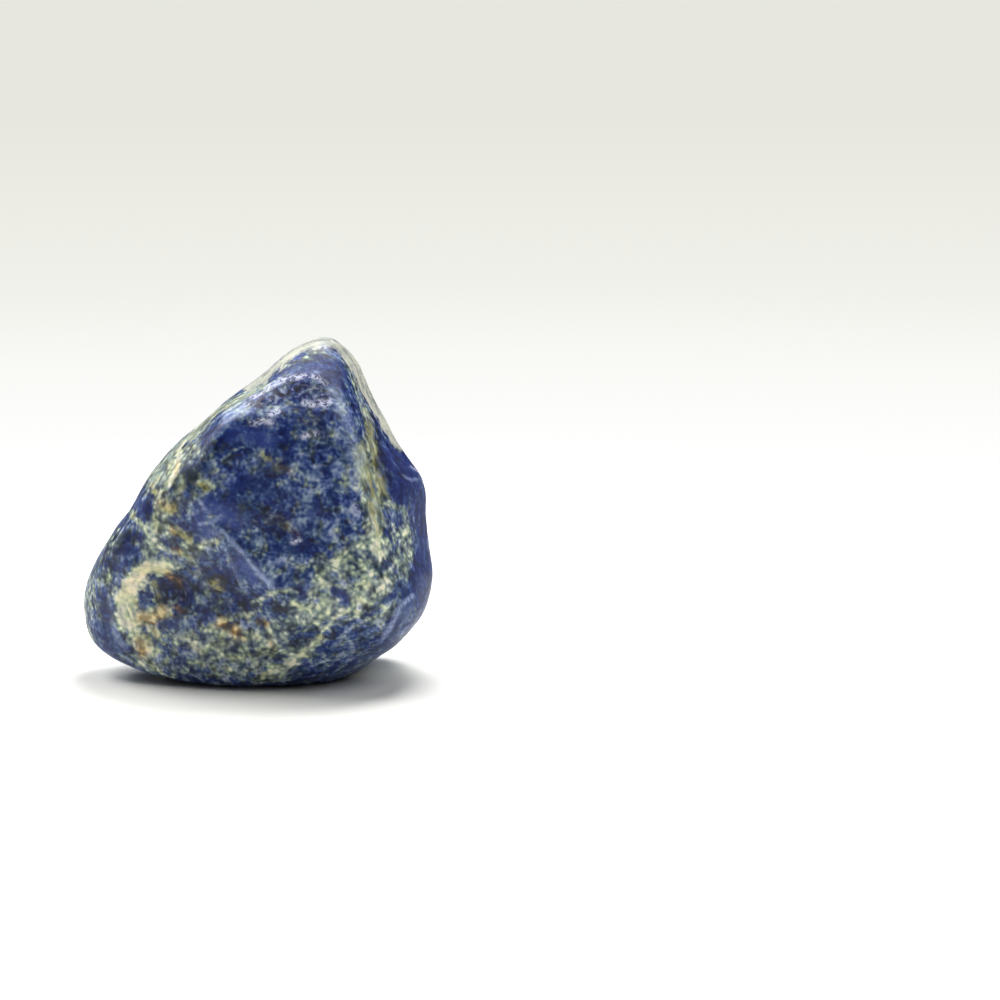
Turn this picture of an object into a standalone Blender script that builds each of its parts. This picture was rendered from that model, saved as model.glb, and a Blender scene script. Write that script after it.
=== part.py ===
"""A tumbled piece of sodalite: one chunky, worn-edged stone standing on the face that it rests on.

The stone is a broken lump whose flat fracture faces were rounded by tumbling. It is modelled the same
way: every fracture face is a plane at its own distance from the stone's heart, the planes meet in ridges
that WEAR rounds over, and hollows, ridges and a ledge are then pressed into or raised from that form.
+X is to the right, -Y towards the viewer and +Z up. The origin is on the resting face, at the middle
of the stone's bounding box.
"""

import math

import bmesh
import bpy
from mathutils import Vector, noise

MM = 0.001

# The stone's heart, from which every face is measured, stands this high over the table, in millimetres.
HEART_HEIGHT = 20.0

# How softly two fracture faces blend where they meet, in millimetres.
WEAR = 1.3

# A face whose normal turns further from a ray than this cosine can't be the one that the ray leaves by.
GRAZING = 0.05

# Cells along each edge of the cube that is blown up into the stone.
CELLS = 28

# Each fracture face: the way that it looks, as an azimuth (0 towards the viewer, 90 to the right) and an
# elevation in degrees, and its distance from the heart in millimetres.
FRACTURE_FACES = {
    "front": (6, 8, 15.6),
    "front brow": (6, 46, 23.6),
    "front lower left": (-20, -11, 14.2),
    "front belly": (8, -22, 18.0),
    "front foot": (0, -58, 22.0),
    "front left foot": (-50, -50, 26.0),
    "front right foot": (38, -50, 23.0),
    "left cheek": (-62, -3, 22.6),
    "left front flank": (-48, 25, 18.2),
    "left upper flank": (-82, 53, 17.9),
    "left crown flank": (-80, 58, 24.0),
    "left middle flank": (-84, 44.5, 19.4),
    "left lower flank": (-88, 34.5, 17.6),
    "left side": (-90, 20, 22.7),
    "left corner": (-90, 3, 25.4),
    "left lower corner": (-90, -28, 32.0),
    "left underside": (-90, -71, 23.1),
    "right underside": (90, -54, 24.9),
    "right lower side": (90, -31, 26.3),
    "right side": (90, 3.5, 26.3),
    "right flank": (84, 31.6, 26.0),
    "right neck": (80, 21.4, 23.0),
    "right crown": (84, 46, 29.5),
    "crown": (180, 85, 30.0),
    "right front": (58, 13, 22.0),
    "back": (170, 6, 17.6),
    "back brow": (186, 44, 23.6),
    "back left": (-136, 14, 19.8),
    "back right": (134, 10, 21.4),
    "back foot": (178, -42, 21.8),
    "back left foot": (-135, -45, 24.4),
    "rest": (0, -90, 21.2),
}

# Each hollow or raised form: the two ends of the line that it follows, measured from the point of the
# table under the heart, its reach to either side and its height over the worn faces, which is negative
# in a hollow. All are in millimetres.
FORMS = {
    "brow edge": ((-1, -10, 43), (10, -8.5, 44.2), 1.4, 0.35),
    "brow groove": ((-1, -11.5, 40.5), (11, -10.5, 41.5), 2.0, -0.45),
    "ledge": ((-3, -13, 38), (13, -12, 38.8), 1.6, 0.45),
    "crease": ((-6.2, -14.3, 27.7), (-3, -14.3, 22.2), 1.2, 0.35),
    "crease left edge": ((-3, -14.3, 22.2), (2.3, -14.3, 13.1), 1.1, 0.5),
    "crease right edge": ((-0.1, -14.6, 20.8), (6.2, -14.9, 13.6), 1.1, 0.5),
    "face hollow": ((2, -14.5, 30), (8, -14.5, 22), 4.5, -0.45),
    "cheek hollow": ((-11, -10.5, 15), (0, -13.5, 13.5), 4.0, -1.2),
    "cheek rim top": ((-10.5, -10.5, 17.5), (-15.5, -9, 17), 1.8, 0.5),
    "cheek rim": ((-15.5, -9, 17), (-18.6, -7.5, 12), 1.8, 0.7),
    "cheek rim foot": ((-18.6, -7.5, 12), (-17, -6.6, 6.5), 1.8, 0.5),
    "shoulder": ((22.5, -4, 27.5), (22.5, 4, 27.5), 4.5, 1.5),
    "notch over the shoulder": ((17, -4, 40.5), (17, 6, 40.5), 3.0, -0.75),
    "waist under the crown": ((-2, 6, 44.5), (1, -5, 43.5), 3.2, -1.3),
    "crown shoulder": ((4.5, 3, 48), (4.5, -4, 46.5), 3.0, 0.6),
    "back hollow": ((-6, 14, 25), (2, 15, 17), 5.5, -1.0),
    "back ridge": ((9, 14, 38), (5, 17, 12), 2.2, 0.5),
    "back chip": ((-15, 10, 8), (-19, 7, 12), 3.0, -0.7),
    "right side hollow": ((22, 9, 12), (22, 10, 19), 4.0, -0.6),
    "flank hollow": ((-8, 11, 36), (-12, 11, 28), 4.5, -0.6),
    "left flank swell": ((-13.3, -6, 32), (-13.3, 8, 32), 4.5, 0.5),
    "left flank dip": ((-18, -6, 24.5), (-18, 8, 24.5), 3.0, -0.6),
}

# Each swell of the worn surface: the size of its bumps and how far they stand out, in millimetres.
SWELLS = ((11.0, 0.45), (4.5, 0.16))

SODALITE_BLUE = (0.028, 0.047, 0.178, 1.0)
POLISHED = 0.28


def direction(azimuth, elevation):
    """The unit vector that looks along an azimuth and an elevation in degrees."""
    turn = math.radians(azimuth)
    tilt = math.radians(elevation)
    return Vector((math.sin(turn) * math.cos(tilt), -math.cos(turn) * math.cos(tilt), math.sin(tilt)))


def worn_radius(ray, faces):
    """How far the worn stone reaches from its heart along a ray: a smooth minimum over the face planes."""
    total = 0.0
    for normal, distance in faces:
        facing = ray.dot(normal)
        if facing > GRAZING:
            total += math.exp(-distance / facing / WEAR)
    return -WEAR * math.log(total)


def form_height(point):
    """How far the hollows and raised forms move the surface out at a point."""
    height = 0.0
    for start, end, reach, rise in FORMS.values():
        start = Vector(start)
        along = Vector(end) - start
        share = min(max((point - start).dot(along) / along.length_squared, 0.0), 1.0)
        away = (point - start - along * share).length / reach
        height += rise * math.exp(-away * away)
    return height


def swell_height(point):
    """How far the surface's uneven wear moves it out at a point."""
    return sum(rise * noise.noise(point / size) for size, rise in SWELLS)


def cube_ray(corner):
    """The ray through a point of the cube's side, spread so that all cells get a like share of the stone."""
    return Vector([math.tan(c * math.pi / 4) for c in corner]).normalized()


def shape_stone(bm):
    """Moves every vertex of the gridded cube out to the stone's surface; nothing goes below the table."""
    faces = [(direction(turn, tilt), distance) for turn, tilt, distance in FRACTURE_FACES.values()]
    heart = Vector((0, 0, HEART_HEIGHT))
    for vertex in bm.verts:
        ray = cube_ray(vertex.co)
        point = heart + ray * worn_radius(ray, faces)
        point += ray * (form_height(point) + swell_height(point))
        point.z = max(point.z, 0.0)
        vertex.co = point * MM


def centre_on_table(bm):
    """Moves the stone level over the table until the origin is at the middle of its bounding box."""
    for axis in (0, 1):
        reach = [vertex.co[axis] for vertex in bm.verts]
        middle = (min(reach) + max(reach)) / 2
        for vertex in bm.verts:
            vertex.co[axis] -= middle


def build_stone():
    bm = bmesh.new()
    bmesh.ops.create_cube(bm, size=2.0)
    bmesh.ops.subdivide_edges(bm, edges=bm.edges, cuts=CELLS - 1, use_grid_fill=True)
    shape_stone(bm)
    centre_on_table(bm)
    bmesh.ops.recalc_face_normals(bm, faces=bm.faces)
    mesh = bpy.data.meshes.new("stone")
    bm.to_mesh(mesh)
    bm.free()
    mesh.shade_smooth()
    return bpy.data.objects.new("stone", mesh)


def polished_sodalite():
    """The stone's plain material: deep blue with the dull polish of a tumbled stone."""
    material = bpy.data.materials.new("polished sodalite")
    material.use_nodes = True
    shader = material.node_tree.nodes["Principled BSDF"]
    shader.inputs["Base Color"].default_value = SODALITE_BLUE
    shader.inputs["Roughness"].default_value = POLISHED
    shader.inputs["Metallic"].default_value = 0.0
    return material


def main():
    for leftover in list(bpy.data.objects):
        bpy.data.objects.remove(leftover)
    collection = bpy.data.collections.new("sodalite")
    bpy.context.scene.collection.children.link(collection)
    stone = build_stone()
    stone.data.materials.append(polished_sodalite())
    collection.objects.link(stone)


main()
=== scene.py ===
"""A tumbled piece of sodalite on a white studio floor.

The stone is its plain solid, made finer and then worn as a real one is: it has a chipped ledge, raised crack
edges, uneven grains and the low waves of tumbling. Its minerals are laid on in strokes, and so are painted
sheen, glints, pale rims of reflection and shade. A stroke is a smooth line through a few points, given where
the photograph shows them and carried onto the stone by the camera's own rays. Strokes add up to how much of
a mineral or of painted light each spot holds, and the material breaks that up into grains, flecks and bands.
On the sides that the photograph doesn't show, the minerals run on in layers.
"""

import math

import bpy
import numpy as np
from mathutils import Euler, Matrix, Vector, noise
from mathutils.bvhtree import BVHTree


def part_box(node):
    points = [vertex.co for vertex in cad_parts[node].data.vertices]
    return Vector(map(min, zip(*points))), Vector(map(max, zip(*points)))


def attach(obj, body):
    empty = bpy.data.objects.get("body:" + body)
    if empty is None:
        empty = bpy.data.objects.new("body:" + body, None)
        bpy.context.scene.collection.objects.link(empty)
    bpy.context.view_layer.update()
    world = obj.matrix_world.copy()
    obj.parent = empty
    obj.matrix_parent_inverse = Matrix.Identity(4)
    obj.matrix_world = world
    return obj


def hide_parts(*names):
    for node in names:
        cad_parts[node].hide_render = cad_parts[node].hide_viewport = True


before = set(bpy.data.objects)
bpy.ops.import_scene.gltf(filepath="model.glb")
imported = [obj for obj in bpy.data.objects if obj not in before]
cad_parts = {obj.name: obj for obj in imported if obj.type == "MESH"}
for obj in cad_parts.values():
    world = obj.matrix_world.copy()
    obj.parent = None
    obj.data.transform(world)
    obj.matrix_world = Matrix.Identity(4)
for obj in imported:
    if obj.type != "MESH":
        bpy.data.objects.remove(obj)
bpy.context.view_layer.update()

LOW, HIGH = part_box("stone")
MM = 0.001

# The photograph's frame, in pixels: its size, the stone's width in it, and the point of the floor that
# the stone's origin stands on.
PHOTO_SIZE = 1000
STONE_WIDTH_PX = 349.6
ORIGIN_PX = (258.7, 672.4)

# The camera: its lens and sensor in millimetres, and how far it looks down, in degrees.
LENS = 85.0
SENSOR = 36.0
LOOK_DOWN = 8.0

# A pixel's size at the stone, and how far away the camera stands, both in metres.
PIXEL = (HIGH.x - LOW.x) / STONE_WIDTH_PX
DISTANCE = PHOTO_SIZE * PIXEL * LENS / SENSOR

TILT = math.radians(LOOK_DOWN)
LOOK = Vector((0, math.cos(TILT), -math.sin(TILT)))
ACROSS = Vector((1, 0, 0))
UPWARDS = Vector((0, math.sin(TILT), math.cos(TILT)))


def photo_ray(u, v):
    """From the camera through a pixel of the photograph, as long as the way to the stone's origin."""
    side = (u - PHOTO_SIZE / 2) * PIXEL
    rise = (PHOTO_SIZE / 2 - v) * PIXEL
    return LOOK * DISTANCE + ACROSS * side + UPWARDS * rise


CAMERA_PLACE = -photo_ray(*ORIGIN_PX)

# On a side that turns away from the camera, a mark that looks narrow reaches far back. So depth counts only
# this share when the distance to a stroke is measured.
DEPTH_SHARE = 0.22


def as_seen(places):
    """Places as the photograph shows them, in metres: to the right, up, and a share of the depth."""
    away = np.atleast_2d(places) - np.array(CAMERA_PLACE)
    depth = away @ np.array(LOOK)
    shrink = DISTANCE / depth
    side = away @ np.array(ACROSS) * shrink
    rise = away @ np.array(UPWARDS) * shrink
    return np.column_stack([side, rise, depth * DEPTH_SHARE])


# The strokes of each mineral or finish, and of painted sheen, glints and shade, by where they are in the
# photograph. Each has its reach to either side in millimetres, its strength from 0 to 1, and then the points
# that its line runs through, in pixels.
STROKES = {}

STROKES["cream"] = {
    "flank rim": (1.4, 0.66, (262, 387), (240, 399), (217, 411), (203, 424), (191, 435)),
    "flank rim foot": (2.0, 0.6, (176, 447), (164, 461), (154, 477)),
    "left vein head": (0.55, 1.0, (185, 441), (180, 451)),
    "left vein": (0.75, 0.9, (180, 451), (176, 465), (171, 481)),
    "left vein side": (0.5, 0.7, (181, 476), (182, 488)),
    "left vein foot": (0.5, 0.65, (166, 478), (161, 490), (158, 502)),
    "left top patch": (0.7, 0.8, (152, 486), (157, 494)),
    "left patch": (0.9, 0.7, (156, 504), (166, 506), (174, 511)),
    "left dash": (0.5, 0.85, (129, 512), (137, 520), (144, 530)),
    "left column": (1.05, 0.7, (158, 514), (152, 535), (150, 560)),
    "left column line": (0.3, 0.7, (156, 522), (155, 535), (155, 550)),
    "column side": (0.6, 0.65, (170, 531), (180, 533), (191, 543)),
    "column foot": (0.5, 0.9, (172, 550), (182, 552)),
    "outline ring": (0.4, 0.6, (119, 530), (111, 541), (115, 550)),
    "cheek rim top": (1.35, 1.0, (164, 567), (150, 567), (138, 575)),
    "cheek rim": (1.2, 1.0, (138, 575), (126, 590), (122, 606), (126, 622)),
    "cheek rim middle": (1.1, 1.0, (134, 590), (132, 605), (136, 620)),
    "cheek rim foot": (1.3, 0.95, (129, 622), (137, 638), (146, 651)),
    "cheek rim inside": (1.05, 0.95, (140, 618), (153, 617), (166, 611)),
    "rim inside foot": (0.5, 0.8, (150, 625), (157, 634), (160, 642)),
    "cheek top right": (0.7, 0.7, (160, 572), (170, 566)),
    "hollow line": (0.3, 0.6, (151, 588), (154, 598), (163, 607)),
    "under the cheek": (0.35, 0.45, (160, 637), (172, 636), (184, 640)),
    "foot line": (0.25, 0.7, (134, 650), (142, 661), (158, 671), (176, 677)),
    "face foot": (0.45, 0.7, (200, 551), (206, 547), (216, 542)),
    "face foot flecks": (0.5, 0.5, (189, 557), (195, 563)),
    "crack spot": (0.7, 0.3, (196, 484), (203, 488), (209, 483)),
    "crack spot foot": (0.6, 0.4, (190, 492), (199, 500)),
    "face dashes": (0.28, 0.35, (224, 462), (230, 457), (237, 451), (247, 446)),
    "upper left spot": (0.6, 0.4, (196, 449), (201, 457)),
    "upper left flecks": (0.6, 0.45, (190, 462), (186, 478), (187, 490)),
    "hollow ring": (0.4, 0.4, (193, 590), (198, 600), (204, 604)),
    "lower band": (0.6, 0.74, (212, 628), (226, 620), (240, 615), (258, 610)),
    "lower band foot": (0.5, 0.6, (216, 632), (230, 636), (244, 640)),
    "lower band drop": (0.5, 0.9, (266, 622), (272, 632), (271, 646)),
    "foot ring": (0.25, 0.35, (198, 628), (190, 634), (190, 643), (197, 648)),
    "foot ring right": (0.3, 0.45, (198, 648), (206, 646), (213, 640)),
    "foot flecks": (0.45, 0.62, (216, 660), (227, 654), (242, 658)),
    "foot flecks low": (0.45, 0.6, (222, 667), (230, 671)),
    "foot flecks right": (0.6, 0.6, (256, 668), (266, 660), (272, 668)),
    "foot flecks far right": (0.5, 0.8, (281, 633), (288, 640)),
    "sill": (0.5, 0.7, (252, 600), (262, 597), (274, 592), (292, 591)),
    "sill spot": (0.6, 0.95, (295, 605), (306, 609)),
    "face corner spot": (0.5, 0.55, (300, 567), (308, 565)),
    "slanting vein foot": (0.65, 0.86, (262, 677), (278, 672), (291, 665)),
    "slanting vein": (0.7, 0.9, (291, 665), (300, 655), (310, 646), (319, 638)),
    "slanting vein top": (0.32, 0.75, (319, 638), (324, 627), (336, 617), (348, 611), (361, 613)),
    "corner ring": (0.6, 0.62, (332, 566), (323, 573), (323, 585), (334, 587)),
    "corner ring top": (0.6, 0.55, (336, 562), (346, 564), (352, 560)),
    "corner ring line": (0.25, 0.75, (318, 618), (320, 609), (328, 602), (340, 600)),
    "corner patch": (0.75, 0.6, (338, 552), (350, 552), (361, 546)),
    "right patch": (0.75, 0.6, (370, 540), (379, 548), (384, 558)),
    "right patch flecks": (0.8, 0.55, (360, 562), (372, 572), (366, 584)),
    "yellow spot": (0.55, 0.85, (379, 590), (386, 580)),
    "yellow spot foot": (0.6, 0.72, (362, 600), (373, 597), (382, 592)),
    "right low spot": (0.45, 0.6, (385, 606), (391, 614)),
    "right low spots": (0.5, 0.65, (340, 611), (352, 609), (360, 617)),
    "ridge vein top": (1.0, 0.62, (359, 446), (362, 460), (363, 476)),
    "ridge vein": (1.25, 0.58, (363, 476), (367, 489), (372, 502)),
    "ridge vein middle": (1.2, 0.6, (372, 502), (375, 516), (376, 530)),
    "ridge vein foot": (1.2, 0.7, (376, 530), (378, 542), (381, 554)),
    "ridge side": (1.0, 0.5, (364, 412), (369, 432), (373, 450), (375, 470), (380, 488), (386, 502)),
    "crown side": (0.5, 0.55, (346, 358), (352, 378), (358, 396), (364, 412)),
    "right branch top": (0.4, 0.65, (384, 502), (393, 504), (399, 511)),
    "right branch": (0.5, 0.85, (402, 505), (406, 517), (407, 535)),
    "right branch foot": (0.55, 0.7, (407, 535), (410, 548), (404, 562)),
    "right branch end": (0.55, 0.6, (402, 562), (406, 574)),
    "crown line": (0.3, 1.0, (284, 366), (292, 362), (302, 358), (311, 358), (320, 362)),
    "crown streak": (0.3, 0.55, (300, 351), (313, 350), (325, 354)),
    "lower right field": (3.6, 0.38, (330, 580), (365, 572), (396, 548)),
    "right low field": (3.0, 0.34, (330, 612), (365, 606), (392, 590)),
    "lower field": (3.4, 0.48, (212, 640), (235, 644), (265, 646), (300, 620)),
    "left field": (2.2, 0.28, (120, 538), (104, 575), (96, 600)),
    "left inner field": (2.6, 0.4, (150, 540), (170, 545)),
    "left outline field": (0.9, 0.25, (90, 585), (87, 612), (93, 638)),
    "upper left field": (2.4, 0.28, (196, 436), (180, 470), (168, 495)),
    "lower left patch": (0.6, 0.35, (208, 638), (216, 630), (222, 634)),
    "cheek outer edge": (0.45, 0.9, (158, 563), (146, 563), (134, 570), (123, 583)),
    "cheek outer edge foot": (0.45, 0.9, (123, 583), (117, 598), (117, 611), (121, 624)),
    "left upper field": (1.8, 0.18, (208, 452), (212, 470), (206, 492)),
    "hollow spot": (0.5, 0.25, (216, 584), (221, 586)),
    "lower left field": (3.0, 0.16, (150, 650), (180, 655), (205, 650)),
}

# Mist: the rock's paler blue, and painted sheen at the flank, the ledge's right, the face's right and the
# bottom.
STROKES["mist_and_sheen"] = {
    "face": (4.0, 0.34, (290, 460), (310, 480), (300, 510)),
    "face right": (1.7, 0.6, (336, 430), (345, 470), (350, 505), (356, 530)),
    "face bottom": (2.2, 0.34, (262, 560), (300, 565), (330, 545)),
    "left of the crack": (1.8, 0.42, (214, 470), (228, 478), (238, 468)),
    "ledge left": (1.5, 0.66, (232, 412), (246, 408)),
    "ledge right": (1.2, 0.4, (338, 400), (343, 415), (349, 424)),
    "lower right": (3.4, 0.2, (320, 640), (360, 640), (395, 610)),
    "lower left": (3.0, 0.26, (190, 620), (150, 650), (120, 640)),
    "hollow": (1.8, 0.24, (190, 560), (215, 600), (200, 610)),
    "left edge": (1.4, 0.15, (100, 590), (104, 625)),
    "bottom": (2.0, 0.4, (160, 668), (230, 674), (330, 668)),
    "face flecks": (0.5, 0.6, (318, 490), (329, 487)),
    "face flecks right": (0.5, 0.75, (338, 490), (348, 486), (357, 488)),
    "face flecks top": (0.5, 0.5, (309, 467), (318, 468)),
    "face flecks edge": (0.4, 0.6, (351, 508), (357, 512), (362, 518)),
    "flank": (0.8, 0.75, (226, 414), (240, 407), (251, 403)),
    "ledge foot": (0.7, 0.8, (278, 406), (292, 404), (303, 402)),
    "crack spot ring": (0.45, 0.6, (194, 484), (200, 480), (208, 480), (212, 487), (206, 494), (197, 497)),
    "face dashes": (0.3, 0.9, (224, 461), (232, 454), (238, 450), (247, 446)),
    "ledge": (1.0, 0.4, (262, 404), (280, 397), (300, 396), (320, 398)),
    "cheek hollow": (0.6, 0.55, (153, 583), (157, 595)),
    "crack middle": (1.3, 0.3, (206, 524), (218, 534), (228, 548)),
    "cheek inside": (1.3, 0.3, (150, 585), (165, 600), (174, 622)),
    "crown streak": (0.28, 0.5, (288, 374), (303, 366), (318, 364), (333, 369)),
    "crown streak low": (0.25, 0.45, (300, 375), (313, 371), (326, 373)),
    "crown side": (0.3, 0.45, (341, 368), (347, 386), (352, 402)),
    "right cluster": (2.6, 0.18, (345, 570), (372, 560), (392, 540)),
}

# Pale rims along the crown and the outlines: mostly painted grazing reflection, with some pale cream mineral.
STROKES["pale_and_rim_sheen"] = {
    "crown rim left": (1.4, 0.85, (250, 386), (266, 376), (280, 363), (290, 353), (302, 345), (315, 342)),
    "crown rim top": (0.9, 0.75, (314, 341), (324, 340), (335, 344), (345, 352)),
    "crown rim right": (1.4, 1.0, (346, 351), (356, 366), (363, 381), (371, 396), (380, 411), (388, 425)),
    "crown rim foot": (0.85, 0.9, (386, 426), (392, 437), (400, 447)),
    "cheek stripe": (0.3, 0.75, (121, 598), (120, 612), (125, 624)),
    "cheek inner stripe": (0.4, 0.8, (146, 578), (140, 588)),
    "left vein": (0.4, 0.7, (181, 447), (178, 458)),
    "left outline": (0.3, 0.5, (86, 598), (86, 618), (91, 634)),
}

# Painted sheen: pale blue highlights along the crack's edges, the ridge, the flank, the outlines and a few
# streaks.
STROKES["painted_sheen"] = {
    "crack head": (0.22, 0.9, (199, 499), (204, 507), (209, 513)),
    "crack left": (0.3, 0.28, (214, 526), (222, 541), (229, 558), (238, 578), (248, 593)),
    "crack right": (0.34, 1.0, (222, 531), (231, 541), (242, 552), (252, 564), (262, 576), (273, 588)),
    "crack crossing": (0.25, 0.8, (200, 524), (211, 522), (222, 515)),
    "crack middle": (0.35, 0.25, (209, 530), (218, 534)),
    "lower right scratch": (0.32, 1.0, (383, 637), (391, 626), (397, 612), (404, 603), (412, 596)),
    "lower right haze": (1.0, 0.2, (404, 618), (416, 600), (424, 580)),
    "lower left streak": (0.4, 0.55, (112, 622), (117, 636), (125, 648)),
    "lower left outline": (0.3, 0.7, (93, 642), (103, 654), (122, 664), (140, 669)),
    "right outline": (0.25, 0.6, (426, 496), (428, 520), (428, 548)),
    "shoulder scratch": (0.2, 0.6, (404, 476), (411, 480), (417, 479)),
    "ridge sheen": (0.9, 0.45, (334, 390), (341, 408), (349, 428), (354, 456), (357, 480)),
    "flank sheen": (0.9, 0.45, (228, 414), (240, 407), (249, 404)),
    "crack haze": (1.2, 0.12, (230, 546), (242, 562), (254, 578)),
}

# The rock's own deep navy, and painted shade on the right edge and shoulder, in the hollows and under the
# ledge and cheek.
STROKES["deep"] = {
    "under the ledge": (1.0, 0.65, (262, 442), (274, 445), (284, 446)),
    "ledge foot": (0.9, 0.3, (240, 424), (262, 430), (292, 424), (300, 416)),
    "upper left top": (0.8, 0.9, (206, 443), (211, 450)),
    "upper left": (0.8, 0.95, (224, 446), (230, 452)),
    "flank": (0.7, 0.7, (205, 436), (222, 424)),
    "by the vein": (0.8, 0.8, (186, 466), (190, 480), (190, 496)),
    "by the spot": (0.8, 0.85, (200, 466), (207, 472)),
    "face": (1.8, 0.65, (244, 486), (256, 494), (262, 486)),
    "face low": (1.4, 0.65, (232, 508), (246, 514), (248, 504)),
    "face middle": (0.9, 0.85, (262, 470), (270, 474)),
    "face right": (1.0, 0.6, (300, 500), (318, 508)),
    "face bottom": (0.6, 0.8, (282, 551), (304, 548), (322, 544)),
    "ridge side": (0.5, 0.8, (344, 450), (345, 464)),
    "shoulder top": (1.1, 1.0, (386, 456), (392, 470), (396, 488)),
    "shoulder": (2.3, 1.0, (402, 462), (408, 478), (404, 494)),
    "right edge": (1.9, 0.95, (424, 500), (426, 540), (422, 570), (414, 594)),
    "hollow top": (0.9, 0.3, (186, 566), (192, 580)),
    "hollow": (1.3, 0.6, (206, 566), (222, 568)),
    "hollow dark": (0.9, 0.6, (238, 600), (246, 602)),
    "hollow low": (1.2, 0.6, (204, 612), (226, 608)),
    "cheek hollow": (0.6, 0.6, (142, 593), (146, 600)),
    "cheek hollow right": (0.6, 0.35, (162, 590), (166, 602)),
    "under the cheek": (0.9, 0.5, (164, 624), (176, 624)),
    "left edge": (1.0, 0.85, (102, 594), (107, 612)),
    "left edge low": (1.1, 0.7, (104, 628), (113, 645)),
    "left dark": (0.9, 0.95, (110, 564), (122, 566)),
    "left spot top": (0.75, 1.0, (147, 504), (147, 518)),
    "left outline spot": (0.6, 0.8, (140, 492), (136, 499)),
    "left spot middle": (0.85, 1.0, (130, 538), (138, 536)),
    "left spot low": (0.85, 1.0, (118, 552), (130, 550)),
    "column spot": (0.55, 0.95, (164, 541), (172, 543)),
    "right gap": (0.85, 0.95, (336, 592), (346, 598)),
    "right gap foot": (0.6, 0.95, (384, 602), (394, 594), (398, 585)),
    "right gap top": (0.5, 0.8, (388, 530), (392, 545), (386, 566)),
    "lower gap": (0.8, 0.8, (300, 632), (312, 630)),
    "lower gap left": (0.5, 0.8, (203, 634), (206, 640)),
    "crown": (1.5, 0.8, (296, 372), (318, 364), (336, 370), (340, 380)),
    "right foot": (1.2, 0.7, (412, 596), (400, 622), (386, 640)),
    "round the spot": (0.7, 0.8, (208, 578), (218, 575), (226, 582), (222, 592), (210, 592)),
    "hollow spot": (0.7, 0.2, (215, 583), (221, 586)),
    "below the vein": (0.7, 0.5, (300, 670), (318, 654), (334, 641)),
    "rust spot": (0.5, 0.45, (225, 625), (233, 628)),
}

STROKES["vivid"] = {
    "crack head": (1.4, 0.95, (204, 503), (218, 512), (232, 520)),
    "crack left": (1.0, 0.6, (196, 514), (206, 532)),
    "between the crack edges": (0.7, 0.9, (240, 562), (248, 572), (256, 583)),
    "under the ledge": (1.4, 0.8, (232, 432), (250, 434), (268, 440)),
    "left of the crack": (1.4, 0.4, (220, 480), (232, 486)),
}

STROKES["earth"] = {
    "ridge vein": (1.4, 0.95, (360, 446), (366, 480), (374, 508), (377, 526)),
    "hollow": (3.0, 0.45, (165, 590), (200, 590), (232, 596)),
    "hollow top": (2.0, 0.4, (190, 560), (215, 575)),
    "left side": (2.2, 0.5, (174, 475), (166, 500), (160, 530)),
    "face top": (1.0, 0.7, (262, 457), (272, 468), (286, 470)),
    "face middle": (1.6, 0.6, (246, 514), (262, 520), (284, 530)),
    "face right": (1.2, 0.4, (308, 424), (330, 440)),
    "lower field": (2.5, 0.4, (200, 640), (240, 650), (270, 655)),
    "lower right field": (2.5, 0.2, (330, 585), (360, 590), (385, 575)),
    "flank rim": (1.4, 0.85, (250, 394), (220, 410), (190, 437)),
    "upper left": (2.2, 0.6, (200, 445), (190, 470), (186, 495)),
    "left edge": (2.0, 0.45, (120, 540), (104, 575), (96, 610)),
    "face foot": (1.6, 0.5, (196, 545), (190, 570)),
    "bottom": (1.6, 0.45, (150, 664), (220, 676), (300, 676)),
    "lower right foot": (1.8, 0.2, (320, 655), (360, 650), (395, 615)),
    "ridge side": (1.0, 0.85, (366, 412), (371, 432), (376, 452), (381, 476), (384, 496)),
    "cheek hollow": (0.7, 0.8, (153, 583), (157, 595)),
    "under the cheek": (0.9, 0.6, (164, 624), (177, 628)),
    "flank rim foot": (1.8, 0.75, (176, 447), (164, 461), (156, 476)),
}

STROKES["rust"] = {
    "left vein": (0.4, 0.6, (178, 461), (176, 472)),
    "left patch": (0.6, 0.6, (160, 504), (172, 509)),
    "column side": (0.6, 0.6, (172, 530), (178, 534)),
    "column foot": (0.4, 0.6, (174, 550), (180, 552)),
    "cheek rim": (0.9, 0.36, (148, 568), (136, 578), (128, 590)),
    "rim inside": (1.0, 0.85, (142, 618), (152, 620), (162, 612)),
    "rim inside brown": (0.35, 1.0, (149, 621), (153, 623)),
    "rim foot": (0.85, 0.9, (140, 642), (143, 652)),
    "rim foot inside": (0.4, 0.5, (152, 628), (157, 636)),
    "cheek brown": (0.55, 0.85, (167, 573), (173, 578), (179, 586)),
    "cheek brown low": (0.5, 0.9, (177, 607), (184, 612)),
    "hollow edge": (0.35, 0.5, (170, 616), (180, 616)),
    "lower band": (0.9, 1.0, (222, 624), (229, 627), (236, 632)),
    "lower band right": (0.5, 1.0, (259, 621), (266, 624)),
    "lower band drop": (0.4, 0.6, (270, 642), (274, 647)),
    "lower band foot": (0.4, 0.6, (240, 634), (245, 640)),
    "face": (0.6, 0.6, (281, 465), (288, 471)),
    "face foot": (0.7, 0.3, (288, 528), (298, 534)),
    "hollow brown": (0.8, 0.3, (180, 584), (184, 596)),
}

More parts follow.
